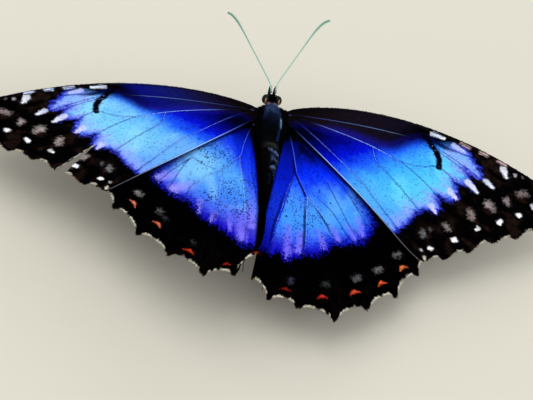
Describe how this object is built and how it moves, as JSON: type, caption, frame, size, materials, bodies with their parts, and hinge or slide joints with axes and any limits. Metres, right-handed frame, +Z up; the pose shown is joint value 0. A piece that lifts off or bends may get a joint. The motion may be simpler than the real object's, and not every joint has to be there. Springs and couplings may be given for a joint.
{
  "type": "blue morpho butterfly",
  "caption": "Life-size still model of a blue morpho butterfly with open wings, standing on its legs on a flat surface",
  "frame": {"origin": "the centre of the model's box, on the surface that its feet stand on", "axes": "+Y towards the head, +X to the butterfly's right, +Z up"},
  "size_m": [0.1366, 0.0683, 0.0249],
  "materials": {
    "wing": "scaled wing membrane: iridescent blue centre, near-black edge with white and red marks, brown underside",
    "body": "short dark hair with a blue-grey sheen",
    "eye": "dark brown faceted compound eye",
    "feeler": "ringed brown antenna and proboscis",
    "leg": "dark brown scaled leg"
  },
  "bodies": {
    "root": {"head": "body", "thorax": "body", "abdomen": "body", "eye_left": "eye", "eye_right": "eye", "palp_left": "body", "palp_right": "body", "proboscis": "feeler", "antenna_left": "feeler", "antenna_right": "feeler", "forewing_left": "wing", "forewing_right": "wing", "hindwing_left": "wing", "hindwing_right": "wing", "foreleg_left": "leg", "foreleg_right": "leg", "midleg_left": "leg", "midleg_right": "leg", "hindleg_left": "leg", "hindleg_right": "leg"}
  },
  "joints": []
}
